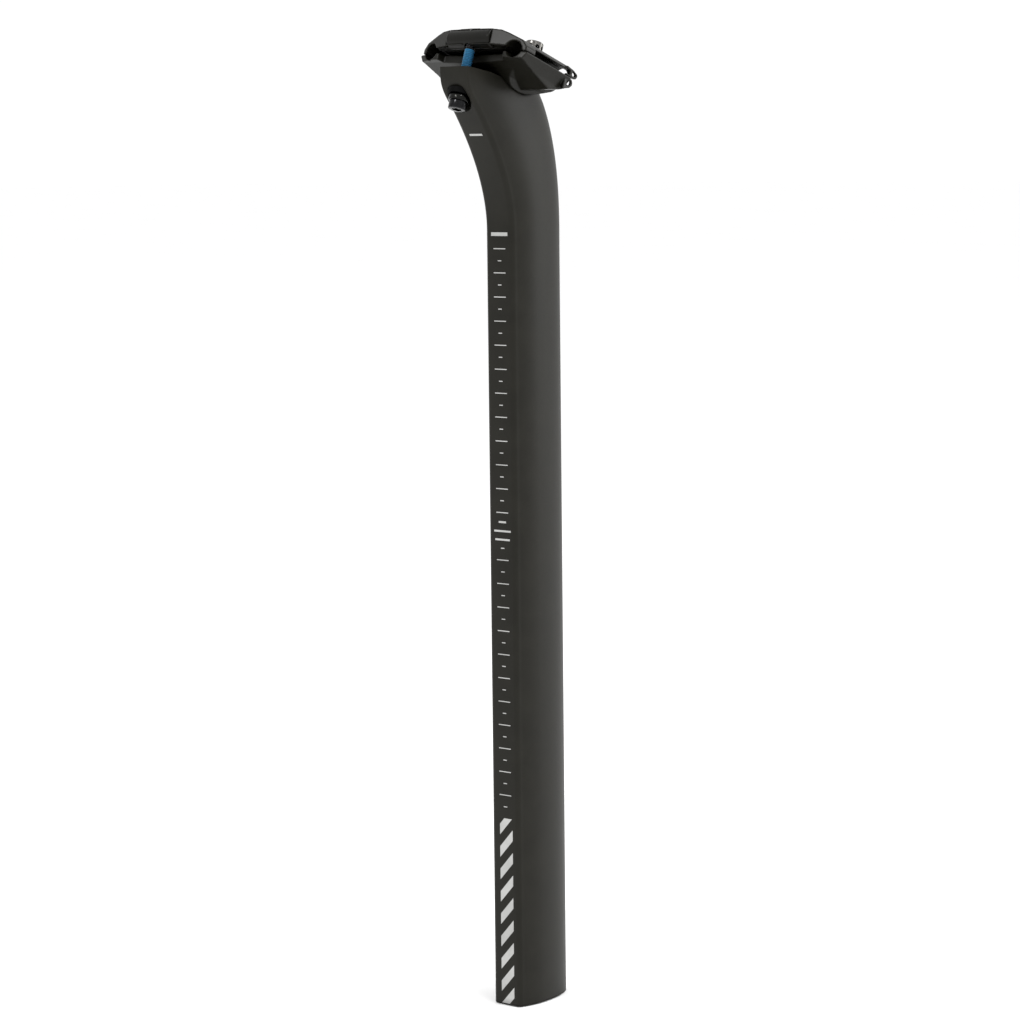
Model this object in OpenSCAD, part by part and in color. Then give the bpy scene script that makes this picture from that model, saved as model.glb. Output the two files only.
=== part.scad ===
// Bicycle seatpost with a D-shaped hollow carbon shaft, a head that leans back, and a
// two-bolt saddle clamp that tilts on a curved saddle.  Millimetres, Z up along the shaft,
// Y towards the front of the bicycle, X towards the rider's right.
// The origin is at the lower end, in the middle of the shaft's section.

/* [Shaft] */
// Side-to-side width of the shaft
shaft_width = 19;            // [18.6:0.1:19.4]
// Front-to-back depth of the shaft
shaft_depth = 37.3;          // [36.8:0.1:37.8]
// Half width of the flat rear face, corner rounding included
flat_half_width = 7.55;      // [7.4:0.05:7.8]
// Rounding of the two rear corners
corner_radius = 2.3;         // [2:0.1:2.6]
// Laminate thickness
wall = 2.6;                  // [2.2:0.1:2.8]
// Height at which the rear face starts to lean back
bend_start = 327.4;          // [320:0.2:328]

/* [Head] */
// Height of the rear edge of the head
tab_top = 394.9;             // [394:0.1:395.6]
// How far the rear of the head stands behind the shaft's rear face
tab_setback = 27.4;          // [27:0.1:27.8]
// Radius of the curved saddle that the clamp rocks on
rocker_radius = 22.2;        // [22:0.1:22.4]
// Height of the rocker's axis
rocker_height = 405.7;       // [405.5:0.1:405.9]

/* [Clamp] */
// Distance between the two saddle rails
rail_spacing = 44;           // [43.6:0.1:44.4]
// Saddle rail diameter
rail_diameter = 7;           // [6.9:0.05:7.1]
// Tilt of the rails, front end down, measured against the shaft
nose_down = 19.7;            // [19.5:0.1:19.9]
// Length of the lower cradle's wings behind the middle of the clamp
wing_rear = 20.5;            // [20:0.1:20.8]

/* [Fasteners] */
// Thread diameter of both bolts
bolt_diameter = 4;           // [3.9:0.1:4]
// Distance of the rear bolt behind the middle of the clamp
rear_bolt_offset = 22;       // [21.9:0.05:22.1]
// Distance of the front stud ahead of the middle of the clamp
front_stud_offset = 16;      // [15.9:0.05:16.1]

/* [Hidden] */
$fn = 96;
rear_face = -shaft_depth / 2;
half_width = shaft_width / 2;
widest_share = 0.36;         // share of the depth, from the rear, where the section is widest
rocker_y = rear_face + 8.6;
clamp_y = rear_face + 4.0;   // middle of the clamp, on the rail axes
clamp_z = 394.5;
running = 0.05;              // radial clearance of a running fit
bolt_radius = bolt_diameter / 2;
rail_x = rail_spacing / 2;
rail_radius = rail_diameter / 2 + running;
NEARLY = 0.01;

// rocker axis in the clamp's own frame
rocker_v = (rocker_y - clamp_y) * cos(nose_down) - (rocker_height - clamp_z) * sin(nose_down);
rocker_w = (rocker_y - clamp_y) * sin(nose_down) + (rocker_height - clamp_z) * cos(nose_down);

// heights in the clamp's own frame
lower_top = -0.9;
upper_bottom = 1.1;
upper_top = 7.7;
rear_seat_w = -17.6;         // face of the head that the rear seat cup rests against
cup_thickness = 2.3;
dome_w = -21.4;              // centre of the washer's dome, which the rear bolt leans about
dome_radius = 3.6;
collar_w = -22.6;            // lower face of the washer's collar
collar_thickness = 2.3;
collar_radius = 4.4;
head_height = 3.4;
head_radius = 3.8;
nut_radius = 4.0;
nut_length = 22.8;
nut_w = 4.5;
nut_v = 0.3 - rear_bolt_offset;
bolt_past_nut = 0.9;         // rear bolt's tip above the middle of the cross nut
anchor_radius = 5;
anchor_length = 12.4;
anchor_w = -18;
washer_seat_w = 8.6;         // front boss of the upper clamp
front_barrel_radius = 4;
thumb_radius = 3.8;
thumb_height = 7.3;
thumb_base_w = 10;
thumb_holes = 8;             // round the thumb nut, for a pin spanner
thumb_hole_radius = 0.95;
thumb_hole_w = 4.8;          // above the nut's base
thumb_hole_floor = 2.9;      // distance of a hole's flat end from the axis
thumb_hole_start = 17.5;     // angle of the first hole

// ---------- post ----------

// right half of the D section, from the rear flat round to the nose
function half_section(rear, front, inset, corner) =
  let (
    depth = front - rear,
    flat = flat_half_width - inset,
    wide = half_width - inset,
    r = max(corner - inset / 2, 0.5),
    waist = depth * widest_share
  )
  concat(
    [for (i = [0:4]) let (q = 90 * i / 4) [flat - r + r * sin(q), r - r * cos(q)]],
    [for (i = [1:4]) let (t = i / 4) [flat + (wide - flat) * (1 - pow(1 - t, 2)), r + (waist - r) * t]],
    [for (i = [1:9]) let (q = 90 * i / 9) [wide * cos(q), waist + (depth - waist) * sin(q)]]
  );

// one closed ring of the section, its rear at (ry, rz) and its nose at (fy, fz)
function ring(ry, rz, fy, fz, inset, corner) =
  let (
    half = half_section(ry, fy, inset, corner),
    count = len(half),
    depth = fy - ry,
    slope = (fz - rz) / depth
  )
  concat(
    [for (p = half) [p[0], ry + p[1], rz + p[1] * slope]],
    [for (i = [count - 2:-1:0]) [-half[i][0], ry + half[i][1], rz + half[i][1] * slope]]
  );

function bezier(a, b, c, d, t) =
  a * pow(1 - t, 3) + b * 3 * t * pow(1 - t, 2) + c * 3 * t * t * (1 - t) + d * pow(t, 3);

// rear and front profiles of the bend, as [y, z], for t from 0 to 1
function rear_profile(t) = bezier(
  [rear_face, bend_start],
  [rear_face, bend_start + 5.8],
  [rear_face, bend_start + 25.8],
  [rear_face - 27.2, 385.8],
  t
);
function front_profile(t) = bezier(
  [-rear_face, bend_start - 9.1],
  [-rear_face, bend_start + 4.7],
  [-rear_face + 1.9, bend_start + 36.6],
  [-rear_face - 12.7, 385.9],
  t
);

function bend_ring(t, inset) =
  let (r = rear_profile(t), f = front_profile(t))
  ring(r[0] + inset, r[1], f[0] - inset, f[1], inset, corner_radius * (1 - 0.7 * t * t));

// solid through a list of rings with equal point counts
module loft(rings) {
  count = len(rings[0]);
  last = len(rings) - 1;
  points = [for (r = rings) each r];
  sides = [for (k = [0:last - 1]) for (i = [0:count - 1])
    let (a = k * count + i, b = k * count + (i + 1) % count)
    each [[a, a + count, b], [b, a + count, b + count]]];
  bottom = [for (i = [0:count - 1]) i];
  top = [for (i = [count - 1:-1:0]) last * count + i];
  polyhedron(points = points, faces = concat([bottom], sides, [top]), convexity = 6);
}

module post_outside() {
  steps = 13;
  loft(concat(
    [ring(rear_face, 0, -rear_face, 0, 0, corner_radius)],
    [for (k = [0:steps]) bend_ring(k / steps, 0)],
    [ring(rear_face - tab_setback, 388.4, -rear_face - 14.6, 388.4, 0, 0.6)],
    [ring(rear_face - tab_setback, tab_top + 1, -rear_face - 18.6, tab_top + 1, 0, 0.6)]
  ));
}

module post_hollow() {
  steps = 9;
  top_share = 0.8;
  loft(concat(
    [ring(rear_face + wall, -1, -rear_face - wall, -1, wall, corner_radius)],
    [for (k = [0:steps]) bend_ring(k / steps * top_share, wall)]
  ));
}

// everything above the head: the sloping top behind the saddle and the low lip ahead of it
module head_top_cut() {
  slope = tan(12);
  lip_height = 385.8;
  translate([-shaft_width, 0, 0])
    rotate([90, 0, 90])
      linear_extrude(2 * shaft_width)
        polygon([
          [rear_face - tab_setback - 10, tab_top + 10 * slope],
          [rear_face - tab_setback, tab_top],
          [rear_face - 14, tab_top - 2.4],
          [rear_face - 9, tab_top - 3.9],
          [rear_face - 5.4, tab_top - 5.6],
          [rocker_y, lip_height],
          [rocker_y + 40, lip_height],
          [rocker_y + 40, 430],
          [rear_face - tab_setback - 10, 430]
        ]);
}

// a cylinder lying across the bicycle, centred on X, in the frame it is called in
module cross_cylinder(radius, length) {
  rotate([0, 90, 0])
    cylinder(r = radius, h = length, center = true);
}

// a slot through the clamp's own frame, along W, wider along V by the play it gives a bolt
module bolt_slot(v, low, high, radius, play) {
  for (side = [-1, 1])
    translate([0, v + side * play, low])
      cylinder(r = radius, h = high - low);
  translate([-radius, v - play, low])
    cube([2 * radius, 2 * play, high - low]);
}

module clamp_frame() {
  translate([0, clamp_y, clamp_z])
    rotate([-nose_down, 0, 0])
      children();
}

module post() {
  pocket_radius = 5.4;
  color("#3a3833")
    difference() {
      post_outside();
      post_hollow();
      head_top_cut();
      translate([0, rocker_y, rocker_height])
        cross_cylinder(rocker_radius, 3 * shaft_width);
      clamp_frame() {
        bolt_slot(-rear_bolt_offset, rear_seat_w - 1, 10, bolt_radius + 0.5, 1.1);
        translate([0, -rear_bolt_offset, rear_seat_w - 22])
          cylinder(r = pocket_radius, h = 22);
        bolt_slot(front_stud_offset, anchor_w, 10, bolt_radius + 0.5, 0.8);
        translate([0, front_stud_offset, anchor_w]) {
          cross_cylinder(anchor_radius + running, anchor_length + 0.6);
          translate([-anchor_length / 2 - 0.3, -anchor_radius - running, -9])
            cube([anchor_length + 0.6, 2 * (anchor_radius + running), 9]);
        }
      }
    }
}

// hardened cup in the bottom of the rear pocket, with a round hollow for the domed washer
module rear_seat_cup() {
  color("#26262a")
    clamp_frame()
      difference() {
        translate([0, -rear_bolt_offset, rear_seat_w - cup_thickness])
          cylinder(r = 5.3, h = cup_thickness);
        translate([0, -rear_bolt_offset, dome_w])
          sphere(r = dome_radius + running);
        translate([0, -rear_bolt_offset, rear_seat_w - 5])
          cylinder(r = bolt_radius + 0.4, h = 10);
      }
}

// ---------- clamp ----------

// a flat outline in (V, W) extruded across the bicycle between two X values
module side_plate(points, from_x, to_x) {
  translate([from_x, 0, 0])
    rotate([90, 0, 90])
      linear_extrude(to_x - from_x)
        polygon(points);
}

// an outline in (X, W), given for the right half, extruded along V and mirrored to the left
module end_prism(points, from_v, to_v) {
  mirrored = [for (i = [len(points) - 1:-1:0]) [-points[i][0], points[i][1]]];
  translate([0, to_v, 0])
    rotate([90, 0, 0])
      linear_extrude(to_v - from_v)
        polygon(concat(points, mirrored));
}

// an outline in (X, V), given for the right half, extruded along W and mirrored to the left
module plan_prism(points, low, high) {
  mirrored = [for (i = [len(points) - 1:-1:0]) [-points[i][0], points[i][1]]];
  translate([0, 0, low])
    linear_extrude(high - low)
      polygon(concat(points, mirrored));
}

module rail_grooves() {
  for (side = [-1, 1])
    translate([side * rail_x, 40, 0])
      rotate([90, 0, 0])
        cylinder(r = rail_radius, h = 80);
}

lip_inside = 26.8;
lip_outside = 28.4;
upper_outside = 27.4;

module lower_wings() {
  intersection() {
    side_plate([
      [-wing_rear - 1, lower_top],
      [-wing_rear - 1, -3.6],
      [-wing_rear + 1.7, -3.9],
      [1.5, -9.1],
      [7.7, -7.0],
      [10.5, -5.6],
      [10.5, lower_top]
    ], -40, 40);
    end_prism([
      [0, lower_top],
      [lip_outside, lower_top],
      [lip_outside, -1.4],
      [27.0, -3.4],
      [25.9, -6.0],
      [25.4, -9.5],
      [0, -9.5]
    ], -40, 40);
    plan_prism([
      [0, -17.5],
      [16, -18.5],
      [17.5, -21.8],
      [21, -21.6],
      [lip_outside, -wing_rear + 1],
      [lip_outside, 12],
      [0, 12]
    ], -20, 10);
  }
}

// the loop at the front end of each lower lip
module lower_tips() {
  for (side = [-1, 1])
    mirror([side < 0 ? 1 : 0, 0, 0])
      difference() {
        side_plate([
          [7, lower_top - 0.4],
          [7, -6.9],
          [11.2, -5.1],
          [12.5, -3.7],
          [12.5, -2.5],
          [11.6, lower_top - 0.4]
        ], lip_inside, lip_outside - 0.4);
        side_plate([
          [9.0, -2.0],
          [11.3, -2.2],
          [11.2, -3.8],
          [8.8, -5.0]
        ], 20, 40);
      }
}

// the part that rocks in the head's saddle; it widens upwards into the wings
module lower_bowl() {
  intersection() {
    translate([0, rocker_v, rocker_w])
      cross_cylinder(rocker_radius - running, 2 * shaft_width);
    end_prism([
      [0, lower_top],
      [17, lower_top],
      [17, -5.6],
      [13.2, -7.4],
      [10.9, -9.0],
      [half_width, -10.6],
      [half_width, -14],
      [0, -14]
    ], -16, 20);
  }
}

module lower_cradle() {
  color("#2e2e2c")
    clamp_frame()
      difference() {
        union() {
          lower_wings();
          lower_tips();
          lower_bowl();
        }
        rail_grooves();
        bolt_slot(front_stud_offset, -20, 10, bolt_radius + 0.4, 2.2);
      }
}

module upper_body() {
  intersection() {
    end_prism([
      [0, upper_bottom],
      [upper_outside, upper_bottom],
      [upper_outside - 0.2, 1.9],
      [25.2, 4.2],
      [19.4, 6.5],
      [15.6, upper_top],
      [0, upper_top + 0.4]
    ], -40, 40);
    plan_prism([
      [0, -24.6],
      [11, -24.6],
      [upper_outside, -wing_rear + 1],
      [upper_outside, 12],
      [16, 12],
      [9, 20.5],
      [0, 20.5]
    ], -5, 20);
  }
}

// outer lip beside each rail: a rear pad, a long window, and a loop at the front end
module upper_lips() {
  for (side = [-1, 1])
    mirror([side < 0 ? 1 : 0, 0, 0]) {
      intersection() {
        side_plate([
          [-wing_rear, -0.4],
          [-13, -0.4],
          [-13, 1.5],
          [-wing_rear, 1.5]
        ], 25, upper_outside);
        plan_prism([
          [0, -24.6],
          [11, -24.6],
          [upper_outside, -wing_rear + 1],
          [upper_outside, 10.5],
          [0, 10.5]
        ], -5, 20);
      }
      difference() {
        side_plate([
          [8, 3.6],
          [12.2, 3.1],
          [15.1, 2.1],
          [15.6, 1.2],
          [14.8, -0.1],
          [12.8, -0.4],
          [8.5, -0.4]
        ], lip_inside - 1, upper_outside);
        side_plate([
          [11.6, 2.6],
          [14.6, 1.9],
          [14.2, 0.7],
          [12.2, 0.5]
        ], 20, 40);
      }
    }
}

module upper_clamp() {
  color("#35352f")
    clamp_frame()
      difference() {
        union() {
          upper_body();
          upper_lips();
        }
        rail_grooves();
        for (side = [-1, 1])
          translate([side > 0 ? 24 : -34, -13, 0.4])
            cube([10, 23.5, 1.9]);
        translate([0, nut_v, nut_w])
          cross_cylinder(nut_radius + running, nut_length + 0.4);
        bolt_slot(-rear_bolt_offset, -5, nut_w, bolt_radius + 0.5, 1.4);
        bolt_slot(front_stud_offset, -5, 20, bolt_radius + 0.5, 1.2);
        translate([0, front_stud_offset, washer_seat_w + 1])
          cross_cylinder(front_barrel_radius + running, 30);
      }
}

// ---------- fasteners ----------

module rear_barrel_nut() {
  color("#303030")
    clamp_frame()
      difference() {
        translate([0, nut_v, nut_w])
          cross_cylinder(nut_radius, nut_length);
        translate([0, -rear_bolt_offset, nut_w - 10])
          cylinder(r = bolt_radius + 0.5, h = 20);
      }
}

// collar with a domed top that leans in the rear seat cup
module rear_washer() {
  color("#1c1c1e")
    clamp_frame()
      translate([0, -rear_bolt_offset, 0])
        difference() {
          union() {
            translate([0, 0, collar_w])
              cylinder(r = collar_radius, h = collar_thickness);
            translate([0, 0, dome_w])
              intersection() {
                sphere(r = dome_radius);
                cylinder(r = dome_radius + 1, h = dome_radius + 1);
              }
          }
          translate([0, 0, collar_w - 1])
            cylinder(r = bolt_radius + running, h = 10);
        }
}

module rear_bolt() {
  head_top = collar_w - NEARLY;
  color("#202022")
    clamp_frame()
      translate([0, -rear_bolt_offset, head_top])
        difference() {
          union() {
            translate([0, 0, -head_height])
              cylinder(r = head_radius, h = head_height);
            cylinder(r = bolt_radius, h = nut_w + bolt_past_nut - head_top);
          }
          translate([0, 0, -head_height - 1])
            cylinder(r = 2.1, h = 3.5, $fn = 6);
        }
}

// a coat of thread-locking compound round the exposed thread
module thread_patch() {
  color("#3c8cc8")
    clamp_frame()
      translate([0, -rear_bolt_offset, -9])
        difference() {
          cylinder(r = bolt_radius + 0.15, h = 8.5);
          translate([0, 0, -1])
            cylinder(r = bolt_radius, h = 11);
        }
}

module front_stud() {
  color("#202022")
    clamp_frame()
      translate([0, front_stud_offset, anchor_w - 3])
        cylinder(r = bolt_radius, h = thumb_base_w + thumb_height - 2 - anchor_w + 3);
}

module front_anchor() {
  color("#8a8a88")
    clamp_frame()
      difference() {
        translate([0, front_stud_offset, anchor_w])
          cross_cylinder(anchor_radius, anchor_length);
        translate([0, front_stud_offset, anchor_w - 10])
          cylinder(r = bolt_radius + 2 * NEARLY, h = 20);
      }
}

module front_half_barrel() {
  color("#8a8a88")
    clamp_frame()
      difference() {
        translate([0, front_stud_offset, washer_seat_w + 1])
          cross_cylinder(front_barrel_radius, 12);
        translate([-20, front_stud_offset - 10, thumb_base_w - NEARLY])
          cube([40, 20, 10]);
        bolt_slot(front_stud_offset, 0, 20, bolt_radius + 0.3, 0.1);
      }
}

module thumb_nut() {
  color("#a8a49c")
    clamp_frame()
      translate([0, front_stud_offset, thumb_base_w])
        difference() {
          cylinder(r = thumb_radius, h = thumb_height);
          translate([0, 0, -1])
            cylinder(r = bolt_radius + 0.3, h = thumb_height + 2);
          for (k = [0:thumb_holes - 1])
            rotate([0, 90, 360 / thumb_holes * k + thumb_hole_start])
              translate([-thumb_hole_w, 0, thumb_hole_floor])
                cylinder(r = thumb_hole_radius, h = thumb_radius);
        }
}

post();
rear_seat_cup();
lower_cradle();
upper_clamp();
rear_barrel_nut();
rear_washer();
rear_bolt();
thread_patch();
front_stud();
front_anchor();
front_half_barrel();
thumb_nut();
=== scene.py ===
"""Seatpost with a two-bolt saddle clamp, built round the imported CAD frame."""

import math

import bpy
from mathutils import Matrix, Vector


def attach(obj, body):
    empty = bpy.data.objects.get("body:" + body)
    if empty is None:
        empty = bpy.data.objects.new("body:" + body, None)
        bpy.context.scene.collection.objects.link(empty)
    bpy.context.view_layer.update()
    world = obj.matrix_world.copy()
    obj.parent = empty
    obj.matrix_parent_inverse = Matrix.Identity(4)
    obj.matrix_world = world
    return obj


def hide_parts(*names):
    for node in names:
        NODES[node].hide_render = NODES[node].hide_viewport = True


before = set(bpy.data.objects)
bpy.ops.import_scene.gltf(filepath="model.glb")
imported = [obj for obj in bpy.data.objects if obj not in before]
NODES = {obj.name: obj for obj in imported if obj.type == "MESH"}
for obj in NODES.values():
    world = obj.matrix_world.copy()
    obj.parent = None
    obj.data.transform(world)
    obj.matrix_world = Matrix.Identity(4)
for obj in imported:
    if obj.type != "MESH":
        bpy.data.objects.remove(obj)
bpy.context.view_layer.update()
MM = 0.001

# ---------- driving dimensions, in millimetres, as in the CAD ----------

SHAFT_WIDTH = 19.0
SHAFT_DEPTH = 37.3
FLAT_HALF_WIDTH = 7.55
CORNER_RADIUS = 2.3
WALL = 2.6
WIDEST_SHARE = 0.36
BEND_START = 327.4
TAB_TOP = 394.9
TAB_SETBACK = 27.4
ROCKER_RADIUS = 22.2
ROCKER_HEIGHT = 405.7
NOSE_DOWN = math.radians(19.7)
CLAMP_HEIGHT = 394.5
BOLT_RADIUS = 2.0
THREAD_PITCH = 0.7
REAR_BOLT_V = -22.0
FRONT_STUD_V = 16.0
POCKET_FLOOR_W = -17.6
POCKET_RADIUS = 5.4
ANCHOR_W = -18.0
ANCHOR_SEAT_RADIUS = 5.05
ANCHOR_SEAT_HALF = 6.5
BOLT_CLEARANCE = 0.5     # round each bolt in the holes that it passes through

REAR = -SHAFT_DEPTH / 2
FRONT = SHAFT_DEPTH / 2
ROCKER_Y = REAR + 8.6
CLAMP_Y = REAR + 4.0

# a point (x, v, w) of the clamp's own tilted frame, in millimetres, goes to metres in the row frame
CLAMP = (
    Matrix.Scale(MM, 4)
    @ Matrix.Translation((0, CLAMP_Y, CLAMP_HEIGHT))
    @ Matrix.Rotation(-NOSE_DOWN, 4, "X")
)
ROW = Matrix.Scale(MM, 4)


# ---------- mesh helpers ----------


def make_mesh(name, points, faces, place=ROW, smooth=True):
    """A mesh object from points in millimetres, baked to its place in metres."""
    mesh = bpy.data.meshes.new(name)
    mesh.from_pydata([place @ Vector(p) for p in points], [], faces)
    mesh.validate()
    mesh.update()
    for polygon in mesh.polygons:
        polygon.use_smooth = smooth
    thing = bpy.data.objects.new(name, mesh)
    bpy.context.scene.collection.objects.link(thing)
    return thing


def loft(name, rings, place=ROW):
    """A closed solid through rings of equal point counts."""
    count = len(rings[0])
    points = [p for ring in rings for p in ring]
    faces = [tuple(range(count - 1, -1, -1))]
    for k in range(len(rings) - 1):
        for i in range(count):
            a, b = k * count + i, k * count + (i + 1) % count
            faces.append((a, b, b + count, a + count))
    last = (len(rings) - 1) * count
    faces.append(tuple(range(last, last + count)))
    return make_mesh(name, points, faces, place)


def circle(radius, height, segments):
    """A ring of points round the Z axis."""
    points = []
    for i in range(segments):
        angle = 2 * math.pi * i / segments
        points.append((radius * math.cos(angle), radius * math.sin(angle), height))
    return points


def lathe(name, profile, place, segments=96):
    """A solid of revolution: profile holds (radius, height) pairs, closed through the axis."""
    rings = [circle(radius, height, segments) for radius, height in profile]
    return loft(name, rings, place)


def ring_lathe(name, profile, place, segments=96):
    """A solid of revolution with a hole: profile is a closed loop of (radius, height) pairs."""
    points = []
    for i in range(segments):
        angle = 2 * math.pi * i / segments
        points += [(r * math.cos(angle), r * math.sin(angle), h) for r, h in profile]
    size = len(profile)
    faces = []
    for i in range(segments):
        a, b = i * size, (i + 1) % segments * size
        for k in range(size):
            m = (k + 1) % size
            faces.append((a + k, b + k, b + m, a + m))
    return make_mesh(name, points, faces, place)


def prism(name, outline, half_width, place=ROW):
    """An outline of (y, z) pairs extruded across X."""
    left = [(-half_width, y, z) for y, z in outline]
    right = [(half_width, y, z) for y, z in outline]
    return loft(name, [left, right], place)


def cylinder(name, start, end, radius, place, segments=128):
    """A plain cylinder between two points, used as a cutter."""
    start, end = Vector(start), Vector(end)
    turn = (end - start).to_track_quat("Z", "Y").to_matrix().to_4x4()
    length = (end - start).length
    return lathe(
        name,
        [(radius, 0), (radius, length)],
        place @ Matrix.Translation(start) @ turn,
        segments,
    )


def cut(thing, cutters):
    """Takes each cutter out of the mesh and removes the cutter."""
    for cutter in cutters:
        step = thing.modifiers.new("cut", "BOOLEAN")
        step.operation = "DIFFERENCE"
        step.solver = "EXACT"
        step.object = cutter
    solid = thing.evaluated_get(bpy.context.evaluated_depsgraph_get())
    mesh = bpy.data.meshes.new_from_object(solid)
    thing.modifiers.clear()
    thing.data = mesh
    for cutter in cutters:
        bpy.data.objects.remove(cutter, do_unlink=True)


def smooth_by_angle(thing, degrees):
    """Smooth shading with sharp edges wherever two faces meet at more than the angle."""
    mesh = thing.data
    for polygon in mesh.polygons:
        polygon.use_smooth = True
    mesh.set_sharp_from_angle(angle=math.radians(degrees))


def finish_piece(thing, body, material, slot_name, *nodes):
    """Gives a new piece its material and its CAD body, and hides the nodes it stands for; slot_name is
    not used.
    """
    thing.data.materials.clear()
    thing.data.materials.append(material)
    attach(thing, body)
    if nodes:
        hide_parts(*nodes)


# ---------- materials ----------


def node_material(name):
    """A new material, with its node tree, its shader and the object coordinates."""
    material = bpy.data.materials.new(name)
    material.use_nodes = True
    tree = material.node_tree
    shader = tree.nodes["Principled BSDF"]
    place = tree.nodes.new("ShaderNodeTexCoord")
    return material, tree, shader, place.outputs["Object"]


def noise(tree, vector, scale, detail):
    """The grey value of a noise texture."""
    texture = tree.nodes.new("ShaderNodeTexNoise")
    texture.inputs["Scale"].default_value = scale
    texture.inputs["Detail"].default_value = detail
    tree.links.new(vector, texture.inputs["Vector"])
    return texture.outputs["Fac"]


def ramp(tree, factor, stops):
    """A colour ramp through (position, colour) stops."""
    node = tree.nodes.new("ShaderNodeValToRGB")
    elements = node.color_ramp.elements
    while len(elements) < len(stops):
        elements.new(0.5)
    for element, (position, colour) in zip(elements, stops):
        element.position = position
        element.color = (*colour, 1)
    tree.links.new(factor, node.inputs["Fac"])
    return node.outputs["Color"]


def spread(tree, factor, low, high):
    """Maps a 0 to 1 factor onto low to high."""
    node = tree.nodes.new("ShaderNodeMapRange")
    node.inputs["To Min"].default_value = low
    node.inputs["To Max"].default_value = high
    tree.links.new(factor, node.inputs["Value"])
    return node.outputs["Result"]


def soften(tree, shader, height, strength, distance, edge_radius):
    """Bump from a height, on normals rounded over each sharp edge."""
    edge = tree.nodes.new("ShaderNodeBevel")
    edge.samples = 8
    edge.inputs["Radius"].default_value = edge_radius * MM
    bump = tree.nodes.new("ShaderNodeBump")
    bump.inputs["Strength"].default_value = strength
    bump.inputs["Distance"].default_value = distance * MM
    tree.links.new(height, bump.inputs["Height"])
    tree.links.new(edge.outputs["Normal"], bump.inputs["Normal"])
    tree.links.new(bump.outputs["Normal"], shader.inputs["Normal"])


def satin_coat(name, dark, light, roughness, edge_radius, shine, shade_reach=4.0):
    """A satin painted or moulded surface: slight mottling, fine grain, rounded edges, and painted shade
    that darkens the colour and dims the shine in gaps and hollows.
    """
    material, tree, shader, place = node_material(name)
    mottle = noise(tree, place, scale=90.0, detail=4.0)
    grain = noise(tree, place, scale=4200.0, detail=2.0)
    # painted shade: the ambient occlusion node darkens the base colour in gaps and hollows, within the
    # shade reach
    gap_shade = tree.nodes.new("ShaderNodeAmbientOcclusion")
    gap_shade.samples = 8
    gap_shade.inputs["Distance"].default_value = shade_reach * MM
    tree.links.new(ramp(tree, mottle, [(0.35, dark), (0.65, light)]), gap_shade.inputs["Color"])
    tree.links.new(gap_shade.outputs["Color"], shader.inputs["Base Color"])
    tree.links.new(spread(tree, mottle, *roughness), shader.inputs["Roughness"])
    # painted shade: the shine is cut down as well where the ambient occlusion finds gaps and hollows
    open_share = ramp(tree, gap_shade.outputs["AO"], [(0.35, (0, 0, 0)), (0.95, (shine, shine, shine))])
    tree.links.new(open_share, shader.inputs["Specular IOR Level"])
    soften(tree, shader, grain, strength=0.12, distance=0.02, edge_radius=edge_radius)
    return material


def metal(name, dark, light, roughness, edge_radius):
    """A bare or plated metal with faint marks."""
    material, tree, shader, place = node_material(name)
    marks = noise(tree, place, scale=1500.0, detail=3.0)
    tree.links.new(ramp(tree, marks, [(0.3, dark), (0.7, light)]), shader.inputs["Base Color"])
    tree.links.new(spread(tree, marks, *roughness), shader.inputs["Roughness"])
    shader.inputs["Metallic"].default_value = 1.0
    soften(tree, shader, marks, strength=0.08, distance=0.02, edge_radius=edge_radius)
    return material


def thread_coat(name, groove_shade, crest):
    """A dry coloured coat over a thread, with painted shade that makes it darker between the crests."""
    material, tree, shader, place = node_material(name)
    upright = tree.nodes.new("ShaderNodeMapping")
    upright.inputs["Rotation"].default_value = (NOSE_DOWN, 0, 0)
    tree.links.new(place, upright.inputs["Vector"])
    bands = tree.nodes.new("ShaderNodeTexWave")
    bands.bands_direction = "Z"
    full_turn = 20           # radians of the wave per unit of length and of scale
    bands.inputs["Scale"].default_value = 2 * math.pi / full_turn / (THREAD_PITCH * MM)
    bands.inputs["Distortion"].default_value = 1.2
    bands.inputs["Detail Scale"].default_value = 0.6
    tree.links.new(upright.outputs["Vector"], bands.inputs["Vector"])
    ridge = bands.outputs["Fac"]
    # painted shade: the ramp gives the coat a darker colour between the crests of the thread
    tree.links.new(ramp(tree, ridge, [(0.15, groove_shade), (0.75, crest)]), shader.inputs["Base Color"])
    tree.links.new(spread(tree, ridge, 0.5, 0.35), shader.inputs["Roughness"])
    shader.inputs["Specular IOR Level"].default_value = 0.25
    soften(tree, shader, ridge, strength=0.5, distance=0.15, edge_radius=0.08)
    return material


carbon = satin_coat(
    "satin_carbon",
    dark=(0.0088, 0.0083, 0.0060),
    light=(0.0112, 0.0106, 0.0078),
    roughness=(0.38, 0.46),
    edge_radius=0.3,
    shine=0.14,
    shade_reach=1.5,
)
anodised = satin_coat(
    "anodised_clamp",
    dark=(0.0056, 0.0053, 0.0036),
    light=(0.0080, 0.0077, 0.0056),
    roughness=(0.28, 0.36),
    edge_radius=0.4,
    shine=0.17,
    shade_reach=7.0,
)
nut_finish = satin_coat(
    "anodised_nut",
    dark=(0.0045, 0.0043, 0.0032),
    light=(0.0065, 0.0062, 0.0048),
    roughness=(0.32, 0.40),
    edge_radius=0.4,
    shine=0.14,
)
black_chrome = metal(
    "black_chrome",
    dark=(0.014, 0.014, 0.015),
    light=(0.024, 0.024, 0.025),
    roughness=(0.10, 0.16),
    edge_radius=0.25,
)
dark_steel = metal(
    "dark_steel",
    dark=(0.012, 0.012, 0.012),
    light=(0.022, 0.022, 0.020),
    roughness=(0.14, 0.22),
    edge_radius=0.25,
)
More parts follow.
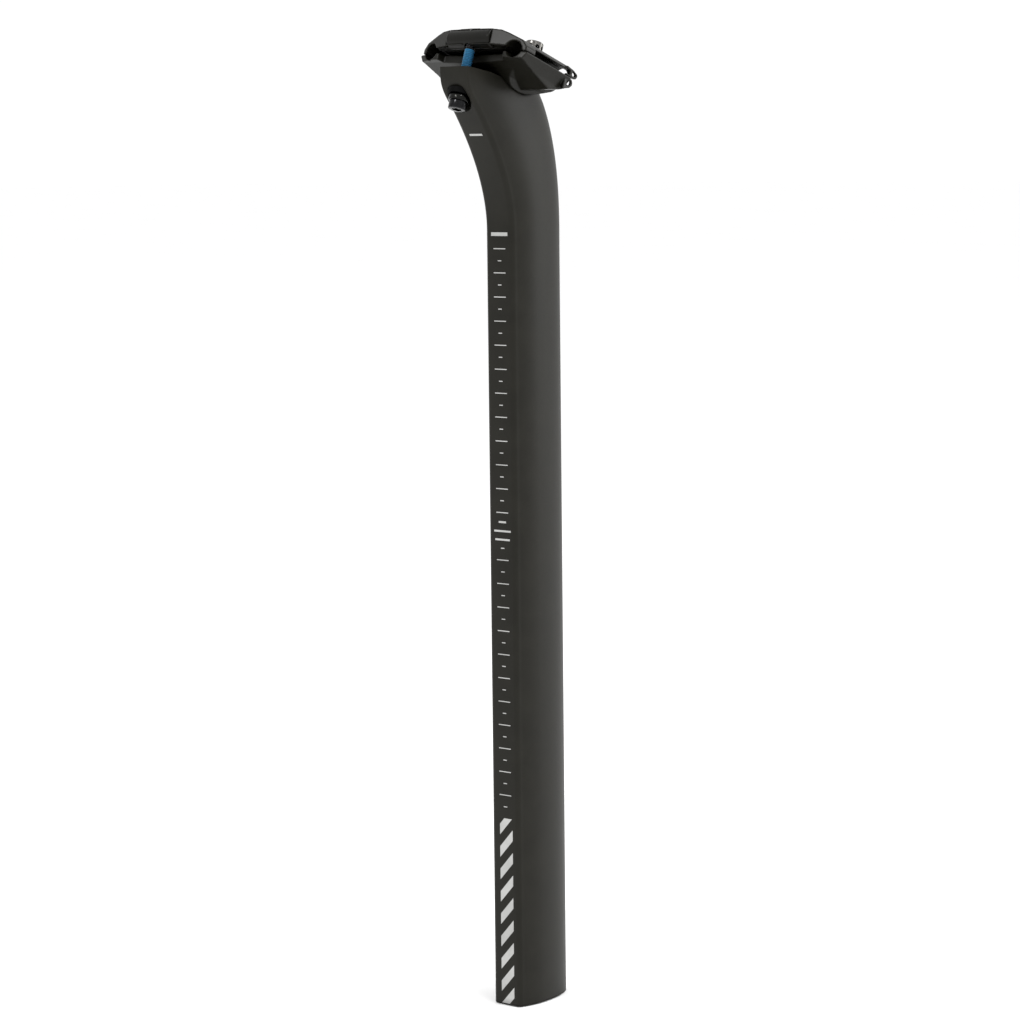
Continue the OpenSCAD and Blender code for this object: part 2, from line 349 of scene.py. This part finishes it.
# painted shadow: the seat cup deep in the pocket is coloured near black for the pocket's shadow, in
# place of the colour of its steel
pocket_shadow_black = satin_coat(
    "pocket_shadow_black",
    dark=(0.0010, 0.0010, 0.0010),
    light=(0.0025, 0.0025, 0.0025),
    roughness=(0.5, 0.6),
    edge_radius=0.25,
    shine=0.04,
)
plain_steel = metal(
    "plain_steel",
    dark=(0.26, 0.25, 0.23),
    light=(0.36, 0.35, 0.33),
    roughness=(0.25, 0.36),
    edge_radius=0.3,
)
thumb_metal = metal(
    "thumb_metal",
    dark=(0.10, 0.097, 0.090),
    light=(0.17, 0.165, 0.155),
    roughness=(0.20, 0.32),
    edge_radius=0.25,
)
# painted shade: the darker blue colours the coat between the thread's crests
thread_lock = thread_coat(
    "thread_lock",
    groove_shade=(0.004, 0.030, 0.075),
    crest=(0.030, 0.180, 0.340),
)
print_ink = satin_coat(
    "print_ink",
    dark=(0.34, 0.34, 0.33),
    light=(0.42, 0.42, 0.41),
    roughness=(0.45, 0.55),
    edge_radius=0.05,
    shine=0.20,
)


# ---------- the post ----------


def half_section(depth, inset, corner, pinch):
    """Right half of the D section, from the rear flat round to the nose, as (x, y) pairs.

    inset is the distance inside the outer surface; pinch narrows the widest part on each side."""
    flat = FLAT_HALF_WIDTH - inset
    wide = SHAFT_WIDTH / 2 - inset - pinch
    tightest_corner = 0.5
    corner = max(corner - inset / 2, tightest_corner)
    waist = depth * WIDEST_SHARE
    corner_steps = 8
    side_steps = 12
    nose_steps = 30
    points = []
    for i in range(corner_steps + 1):
        q = math.pi / 2 * i / corner_steps
        points.append((flat - corner + corner * math.sin(q), corner - corner * math.cos(q)))
    for i in range(1, side_steps + 1):
        t = i / side_steps
        points.append((flat + (wide - flat) * (1 - (1 - t) ** 2), corner + (waist - corner) * t))
    for i in range(1, nose_steps + 1):
        q = math.pi / 2 * i / nose_steps
        points.append((wide * math.cos(q), waist + (depth - waist) * math.sin(q)))
    return points


def ring(rear, front, inset, corner, pinch=0.0):
    """One closed ring of the section between a rear point and a nose point, both (y, z)."""
    depth = front[0] - rear[0]
    slope = (front[1] - rear[1]) / depth
    half = half_section(depth, inset, corner, pinch)
    right = [(x, rear[0] + y, rear[1] + y * slope) for x, y in half]
    left = [(-x, y, z) for x, y, z in reversed(right[:-1])]
    return right + left


def bezier(a, b, c, d, t):
    """The point at t, from 0 to 1, on the cubic curve with the control points a, b, c and d."""
    weights = ((1 - t) ** 3, 3 * t * (1 - t) ** 2, 3 * t * t * (1 - t), t**3)
    return tuple(sum(w * p[i] for w, p in zip(weights, (a, b, c, d))) for i in (0, 1))


def bend_ends(t):
    """The rear and the nose of the bend, as (y, z), for t from 0 to 1."""
    rear = bezier(
        (REAR, BEND_START),
        (REAR, BEND_START + 5.8),
        (REAR, BEND_START + 25.8),
        (REAR - 27.2, 385.8),
        t,
    )
    front = bezier(
        (FRONT, BEND_START - 9.1),
        (FRONT, BEND_START + 4.7),
        (FRONT + 1.9, BEND_START + 36.6),
        (FRONT - 12.7, 385.9),
        t,
    )
    return rear, front


def bend_ring(t, inset):
    """The section of the bend at t, inset from the outer surface."""
    rear, front = bend_ends(t)
    return ring((rear[0] + inset, rear[1]), (front[0] - inset, front[1]), inset, CORNER_RADIUS)


def slot_cutters(name, v, low, high, radius, play):
    """A through slot along W, wider along V by the play, as two cylinders and a block."""
    ends = []
    for side in (-1, 1):
        middle = v + side * play
        end = cylinder(f"{name}_{side}", (0, middle, low), (0, middle, high), radius, CLAMP, segments=64)
        ends.append(end)
    block = prism(
        f"{name}_block",
        [(v - play, low), (v + play, low), (v + play, high), (v - play, high)],
        radius,
        CLAMP,
    )
    return [*ends, block]


def make_post():
    """The shell of shaft and head, hollow below, with its saddle, pocket and bolt holes."""
    bend_steps = 56
    lean_share = 0.92        # of the bend, after which the rear face turns upright
    outer = [ring((REAR, z), (FRONT, z), 0, CORNER_RADIUS) for z in (0, 110, 220)]
    outer += [bend_ring(k / bend_steps * lean_share, 0) for k in range(bend_steps + 1)]
    lean_rear, lean_front = bend_ends(lean_share)
    tab_steps = 14
    tab_corner = 0.6
    corner_rate = 1.6        # the corners have that radius from 1 / 1.6 of the tab upwards
    shoulder_start = 0.35    # share of the tab below its rounded shoulders
    shoulder_depth = 1.5
    shoulder_share = 0.95    # below 1, so the rounding ends before it is level
    for k in range(1, tab_steps + 1):
        t = k / tab_steps
        rear = bezier(
            lean_rear,
            (REAR - 26.0, 384.4),
            (REAR - TAB_SETBACK, 387.0),
            (REAR - TAB_SETBACK, TAB_TOP + 1),
            t,
        )
        front = bezier(
            lean_front,
            (FRONT - 12.7, 385.9),
            (FRONT - 14.6, 388.4),
            (FRONT - 18.6, TAB_TOP + 1),
            t,
        )
        corner = CORNER_RADIUS + (tab_corner - CORNER_RADIUS) * min(1, corner_rate * t)
        shoulder = max(0, t - shoulder_start) / (1 - shoulder_start)
        pinch = shoulder_depth * (1 - math.sqrt(1 - shoulder_share * shoulder * shoulder))
        outer.append(ring(rear, front, 0, corner, pinch))
    post = loft("post_shell", outer)

    hollow_steps = 24
    hollow_share = 0.8
    inner = [ring((REAR + WALL, -1), (FRONT - WALL, -1), WALL, CORNER_RADIUS)]
    inner += [bend_ring(k / hollow_steps * hollow_share, WALL) for k in range(hollow_steps + 1)]
    hollow = loft("hollow", inner)

    lip_height = 385.8
    past_rear = REAR - TAB_SETBACK - 10
    past_front = ROCKER_Y + 40
    above = 430
    top = prism("top", [
        (past_rear, TAB_TOP + 2.1),
        (REAR - TAB_SETBACK, TAB_TOP),
        (REAR - 14, TAB_TOP - 2.4),
        (REAR - 9, TAB_TOP - 3.9),
        (REAR - 5.4, TAB_TOP - 5.6),
        (ROCKER_Y, lip_height),
        (past_front, lip_height),
        (past_front, above),
        (past_rear, above),
    ], SHAFT_WIDTH)
    saddle = cylinder(
        "saddle",
        (-30, ROCKER_Y, ROCKER_HEIGHT),
        (30, ROCKER_Y, ROCKER_HEIGHT),
        ROCKER_RADIUS,
        ROW,
        segments=256,
    )
    pocket = cylinder(
        "pocket",
        (0, REAR_BOLT_V, -40),
        (0, REAR_BOLT_V, POCKET_FLOOR_W),
        POCKET_RADIUS,
        CLAMP,
    )
    anchor_seat = cylinder(
        "anchor_seat",
        (-ANCHOR_SEAT_HALF, FRONT_STUD_V, ANCHOR_W),
        (ANCHOR_SEAT_HALF, FRONT_STUD_V, ANCHOR_W),
        ANCHOR_SEAT_RADIUS,
        CLAMP,
    )
    hole = BOLT_RADIUS + BOLT_CLEARANCE
    past_top = 10
    cutters = [hollow, top, saddle, pocket]
    cutters += slot_cutters("rear_hole", REAR_BOLT_V, -19, past_top, hole, play=1.1)
    cutters += slot_cutters("front_hole", FRONT_STUD_V, ANCHOR_W, past_top, hole, play=0.8)
    cutters.append(anchor_seat)
    cut(post, cutters)
    smooth_by_angle(post, 24)
    finish_piece(post, "post", carbon, "carbon_shell", "post")


make_post()


# ---------- printed scale on the rear face ----------


PRINT_X = 0.35           # the print stands a little to the right of the middle
PROUD = 0.04             # distance of the print from the surface


def flat_patch(outline):
    """Corners of one printed patch, given as (x, z), lying just behind the rear face."""
    return [(x + PRINT_X, REAR - PROUD, z) for x, z in outline]


def bar(width, height, z):
    """The outline of a level bar, as (x, z), round the height z."""
    x = width / 2
    return [(-x, z - height / 2), (x, z - height / 2), (x, z + height / 2), (-x, z + height / 2)]


def clip(outline, level, side):
    """The part of an outline below a level (side 1) or above it (side -1)."""
    kept = []
    for (x0, z0), (x1, z1) in zip(outline, outline[1:] + outline[:1]):
        if side * (level - z0) >= 0:
            kept.append((x0, z0))
        if (level - z0) * (level - z1) < 0:
            share = (level - z0) / (z1 - z0)
            kept.append((x0 + (x1 - x0) * share, level))
    return kept


def leaning_bar(width, height, z):
    """A printed bar on the part of the rear face that leans back."""
    rows = []
    steps = 400
    for level in (z - height / 2, z + height / 2):
        t = min((k / steps for k in range(steps)), key=lambda q: abs(bend_ends(q)[0][1] - level))
        y, height_there = bend_ends(t)[0]
        rows.append((y - PROUD * 2, height_there - PROUD * 2))
    (low_y, low_z), (high_y, high_z) = rows
    x = width / 2
    return [(-x, low_y, low_z), (x, low_y, low_z), (x, high_y, high_z), (-x, high_y, high_z)]


def make_print():
    """The scale, the plain bars in place of its words, and the striped band at the lower end."""
    first_tick = 320.4
    tick_pitch = 5.0
    tick_count = 48
    left_out = (23, 24)          # the gap in the scale, where three bars stand instead
    long_tick = 6.4
    short_tick = 1.9
    tick_height = 0.4
    patches = []
    for i in range(tick_count):
        if i in left_out:
            continue
        width = long_tick if i % 2 == 0 else short_tick
        patches.append(flat_patch(bar(width, tick_height, first_tick - i * tick_pitch)))
    for z, width in ((206.4, 4.0), (202.6, 9.0), (199.0, 7.9)):
        patches.append(flat_patch(bar(width, height=0.8, z=z)))
    patches.append(flat_patch(bar(width=8.8, height=1.5, z=326.4)))
    patches.append(leaning_bar(width=6.8, height=0.8, z=367.3))

    stripe_half = 3.45
    stripe_height = 4.6
    stripe_pitch = 9.69
    stripe_shift = 0.3           # to the right of the ticks
    rise = 7.6
    hatch_top = 80.4
    hatch_bottom = 0.4
    first_stripe = 77.0          # lower edge of the top stripe, at the middle
    stripe_count = 9
    for k in range(stripe_count):
        low = first_stripe - k * stripe_pitch
        outline = [
            (-stripe_half, low - rise / 2),
            (stripe_half, low + rise / 2),
            (stripe_half, low + rise / 2 + stripe_height),
            (-stripe_half, low - rise / 2 + stripe_height),
        ]
        outline = clip(clip(outline, hatch_top, 1), hatch_bottom, -1)
        patches.append(flat_patch([(x + stripe_shift, z) for x, z in outline]))
    points = []
    faces = []
    for patch in patches:
        start = len(points)
        points += patch
        faces.append(tuple(range(start, start + len(patch))))
    scale_print = make_mesh("scale_print", points, faces, ROW, smooth=False)
    finish_piece(scale_print, "post", print_ink, "carbon_shell")


make_print()


# ---------- fasteners ----------


def thread_rings(radius, low, high, pitch, depth, segments=48):
    """Rings of a right-hand thread between two heights."""
    per_turn = 10
    steepness = 1.3          # above 1 the crests are flat
    count = int((high - low) / pitch * per_turn)
    rings = []
    for k in range(count + 1):
        height = low + (high - low) * k / count
        outline = []
        for i in range(segments):
            turn = i / segments
            phase = (height / pitch - turn) % 1.0
            wave = 1 - abs(2 * phase - 1)
            r = radius - depth * (1 - min(1.0, wave * steepness))
            outline.append((r * math.cos(2 * math.pi * turn), r * math.sin(2 * math.pi * turn), height))
        rings.append(outline)
    return rings


def at(v, w=0.0):
    """A place on a bolt axis in the clamp's own frame."""
    return CLAMP @ Matrix.Translation((0, v, w))


def make_rear_bolt():
    """The socket-head bolt in the rear, and the coloured coat on its thread."""
    head_top = -22.62
    head_height = 3.4
    head_radius = 3.8
    tip = 5.4
    shank_radius = 1.9
    thread_start = -9.4
    base = head_top - head_height
    edge = 0.35
    top_edge = 0.25
    head = lathe("rear_bolt_head", [
        (head_radius - edge, base),
        (head_radius - edge * 0.3, base + edge * 0.3),
        (head_radius, base + edge),
        (head_radius, head_top - top_edge),
        (head_radius - top_edge, head_top),
    ], at(REAR_BOLT_V))
    lobes = 6
    lobe_depth = 0.28
    socket_radius = 2.0
    socket_depth = 2.4
    socket_segments = 72
    socket_outline = []
    for i in range(socket_segments):
        angle = 2 * math.pi * i / socket_segments
        radius = socket_radius + lobe_depth * math.cos(lobes * angle)
        socket_outline.append((radius * math.cos(angle), radius * math.sin(angle)))
    socket = loft(
        "socket",
        [[(x, y, z) for x, y in socket_outline] for z in (base - 1, base + socket_depth)],
        at(REAR_BOLT_V),
    )
    cut(head, [socket])
    smooth_by_angle(head, 30)
    finish_piece(head, "rear_screw", black_chrome, "bolt_steel", "rear_bolt")
    shank = loft("rear_bolt_shank", [
        *[circle(shank_radius, z, 48) for z in (head_top - 0.1, thread_start - 0.1)],
        *thread_rings(BOLT_RADIUS, thread_start, tip, THREAD_PITCH, depth=0.32),
    ], at(REAR_BOLT_V))
    finish_piece(shank, "rear_screw", black_chrome, "bolt_steel")
    smooth_by_angle(shank, 40)
    coat_thickness = 0.10
    coat_low = -9.0
    coat_high = -0.5
    patch = loft(
        "thread_patch_coat",
        thread_rings(BOLT_RADIUS + coat_thickness, coat_low, coat_high, THREAD_PITCH, depth=0.42),
        at(REAR_BOLT_V),
    )
    smooth_by_angle(patch, 40)
    finish_piece(patch, "rear_screw", thread_lock, "thread_lock", "thread_patch")


def make_rear_washer():
    """The collar above the rear bolt's head, with a domed top."""
    low = -22.6
    collar = 2.3
    collar_radius = 4.4
    hole = BOLT_RADIUS + 0.05
    edge = 0.3
    dome_middle = -21.4
    dome_radius = 3.6
    dome_steps = 8
    dome = []
    start = math.asin((low + collar - dome_middle) / dome_radius)
    for k in range(dome_steps + 1):
        q = start + (math.acos(hole / dome_radius) - start) * k / dome_steps
        dome.append((dome_radius * math.cos(q), dome_middle + dome_radius * math.sin(q)))
    washer = ring_lathe("rear_collar", [
        (hole, low),
        (collar_radius - edge, low),
        (collar_radius - edge * 0.3, low + edge * 0.3),
        (collar_radius, low + edge),
        (collar_radius, low + collar - edge),
        (collar_radius - edge * 0.3, low + collar - edge * 0.3),
        (collar_radius - edge, low + collar),
        *dome,
    ], at(REAR_BOLT_V))
    smooth_by_angle(washer, 30)
    finish_piece(washer, "rear_pull", dark_steel, "washer_steel", "rear_washer")


def make_front_stud():
    """The threaded stud between the anchor in the head and the thumb nut."""
    low = ANCHOR_W - 3
    high = 15.2
    stud = loft(
        "front_stud_thread",
        thread_rings(BOLT_RADIUS, low, high, THREAD_PITCH, depth=0.3),
        at(FRONT_STUD_V),
    )
    smooth_by_angle(stud, 40)
    finish_piece(stud, "front_pull", black_chrome, "bolt_steel", "front_stud")


def make_thumb_nut():
    """The round front nut, with radial holes for a pin."""
    base = 10.0
    height = 7.3
    radius = 3.8
    edge = 0.35
    bore = BOLT_RADIUS + 0.3
    bevel = 0.5
    nut = ring_lathe("round_nut", [
        (bore, base),
        (radius - edge, base),
        (radius, base + edge),
        (radius, base + height - edge),
        (radius - edge, base + height),
        (bore + bevel, base + height),
        (bore, base + height - bevel),
    ], at(FRONT_STUD_V), segments=128)
    hole_radius = 0.95
    hole_depth = 2.5         # below the top of the nut
    hole_pairs = 4           # each cutter goes right through and leaves two holes
    first_hole = 17.5
    cutter_reach = 6
    holes = []
    for k in range(hole_pairs):
        angle = math.radians(180 / hole_pairs * k + first_hole)
        reach = Vector((math.cos(angle), math.sin(angle), 0)) * cutter_reach
        middle = Vector((0, FRONT_STUD_V, base + height - hole_depth))
        hole = cylinder(f"pin_hole_{k}", middle - reach, middle + reach, hole_radius, CLAMP, segments=40)
        holes.append(hole)
    cut(nut, holes)
    smooth_by_angle(nut, 30)
    finish_piece(nut, "thumb", thumb_metal, "thumb_metal", "thumb_nut")


def make_barrel_nut():
    """The round cross nut, lying along X, with the bore for the rear bolt."""
    half = 11.4
    radius = 4.0
    edge = 0.9
    edge_steps = 6
    centre = Vector((0, REAR_BOLT_V + 0.3, 4.5))
    profile = []
    for k in range(edge_steps + 1):
        q = math.pi / 2 * k / edge_steps
        profile.append((radius - edge + edge * math.sin(q), -half + edge - edge * math.cos(q)))
    profile += [(r, -h) for r, h in reversed(profile)]
    lying = Matrix.Rotation(math.pi / 2, 4, "Y")
    nut = lathe("cross_nut", profile, CLAMP @ Matrix.Translation(centre) @ lying)
    bore = cylinder(
        "nut_bore",
        (0, REAR_BOLT_V, -6),
        (0, REAR_BOLT_V, 14),
        BOLT_RADIUS + BOLT_CLEARANCE,
        CLAMP,
        segments=64,
    )
    cut(nut, [bore])
    smooth_by_angle(nut, 30)
    finish_piece(nut, "rear_nut", nut_finish, "nut_metal", "rear_barrel_nut")


make_rear_bolt()
make_rear_washer()
make_front_stud()
make_thumb_nut()
make_barrel_nut()


# ---------- CAD nodes that stay, with a better material ----------

KEPT = {
    "lower_cradle": anodised,
    "upper_clamp": anodised,
    "rear_seat_cup": pocket_shadow_black,
    "front_anchor": plain_steel,
    "front_half_barrel": plain_steel,
}
FORGED = ("lower_cradle", "upper_clamp")    # every edge of these is a little round


def round_edges(thing):
    """Rounds every edge of a forged piece by resampling it and relaxing the result."""
    fine = thing.modifiers.new("fine", "REMESH")
    fine.mode = "VOXEL"
    fine.voxel_size = 0.25 * MM
    fine.use_smooth_shade = True
    relax = thing.modifiers.new("relax", "SMOOTH")
    relax.factor = 0.5
    relax.iterations = 6
    fewer = thing.modifiers.new("fewer", "DECIMATE")
    fewer.ratio = 0.3


for node_name, material in KEPT.items():
    node = NODES[node_name]
    node.data.materials.clear()
    node.data.materials.append(material)
    if node_name in FORGED:
        round_edges(node)


# ---------- floor, light and camera ----------


def make_floor():
    """A wide white floor just below the post."""
    reach = 30000
    level = -0.5
    corners = [(x * reach, y * reach, level) for x, y in ((-1, -1), (1, -1), (1, 1), (-1, 1))]
    floor = make_mesh("floor", corners, [(0, 1, 2, 3)])
    material, tree, shader, place = node_material("floor_paper")
    paper = noise(tree, place, scale=3.0, detail=2.0)
    shades = [(0.3, (0.955, 0.955, 0.955)), (0.7, (0.97, 0.97, 0.97))]
    tree.links.new(ramp(tree, paper, shades), shader.inputs["Base Color"])
    shader.inputs["Roughness"].default_value = 0.9
    floor.data.materials.append(material)


def make_world():
    """An even white surround."""
    world = bpy.data.worlds.new("studio")
    world.use_nodes = True
    backdrop = world.node_tree.nodes["Background"]
    backdrop.inputs["Color"].default_value = (1, 1, 1, 1)
    backdrop.inputs["Strength"].default_value = 1.04
    bpy.context.scene.world = world


def soft_box(name, azimuth, elevation, distance, size, power):
    """A square area light that looks at the upper part of the post."""
    aim = Vector((0, 0, 0.3))
    a, e = math.radians(azimuth), math.radians(elevation)
    away = Vector((math.sin(a) * math.cos(e), -math.cos(a) * math.cos(e), math.sin(e)))
    light = bpy.data.lights.new(name, "AREA")
    light.size = size
    light.energy = power
    lamp = bpy.data.objects.new(name, light)
    lamp.location = aim + away * distance
    lamp.rotation_mode = "QUATERNION"
    lamp.rotation_quaternion = (-away).to_track_quat("-Z", "Y")
    bpy.context.scene.collection.objects.link(lamp)


def make_camera():
    """Behind and to the right of the post, a little above its head, looking slightly down."""
    distance = 1332.5        # from the middle of the rear face
    azimuth = math.radians(40.05)
    height = 359.5
    heading = math.radians(39.9)
    pitch = math.radians(6.34)
    roll = math.radians(-0.62)
    focal_width = 3.1446     # focal length over picture width
    forward = Vector((
        -math.sin(heading) * math.cos(pitch),
        math.cos(heading) * math.cos(pitch),
        -math.sin(pitch),
    ))
    level_right = Vector((math.cos(heading), math.sin(heading), 0))
    level_up = level_right.cross(forward)
    right = level_right * math.cos(roll) + level_up * math.sin(roll)
    up = level_up * math.cos(roll) - level_right * math.sin(roll)
    data = bpy.data.cameras.new("camera")
    data.sensor_width = 36
    data.lens = data.sensor_width * focal_width
    data.clip_start = 0.05
    data.clip_end = 200
    camera = bpy.data.objects.new("camera", data)
    place = Vector((distance * math.sin(azimuth), REAR - distance * math.cos(azimuth), height)) * MM
    camera.matrix_world = Matrix((
        (right.x, up.x, -forward.x, place.x),
        (right.y, up.y, -forward.y, place.y),
        (right.z, up.z, -forward.z, place.z),
        (0, 0, 0, 1),
    ))
    bpy.context.scene.collection.objects.link(camera)
    bpy.context.scene.camera = camera


bpy.context.scene.view_settings.view_transform = "Standard"
make_floor()
make_world()
soft_box("rear_box", azimuth=-4, elevation=36, distance=2.2, size=0.45, power=15)
soft_box("key_box", azimuth=104, elevation=46, distance=2.4, size=0.7, power=24)
soft_box("edge_box", azimuth=142, elevation=8, distance=2.4, size=0.9, power=11)
soft_box("side_spark", azimuth=66, elevation=40, distance=2.0, size=0.22, power=5)
make_camera()
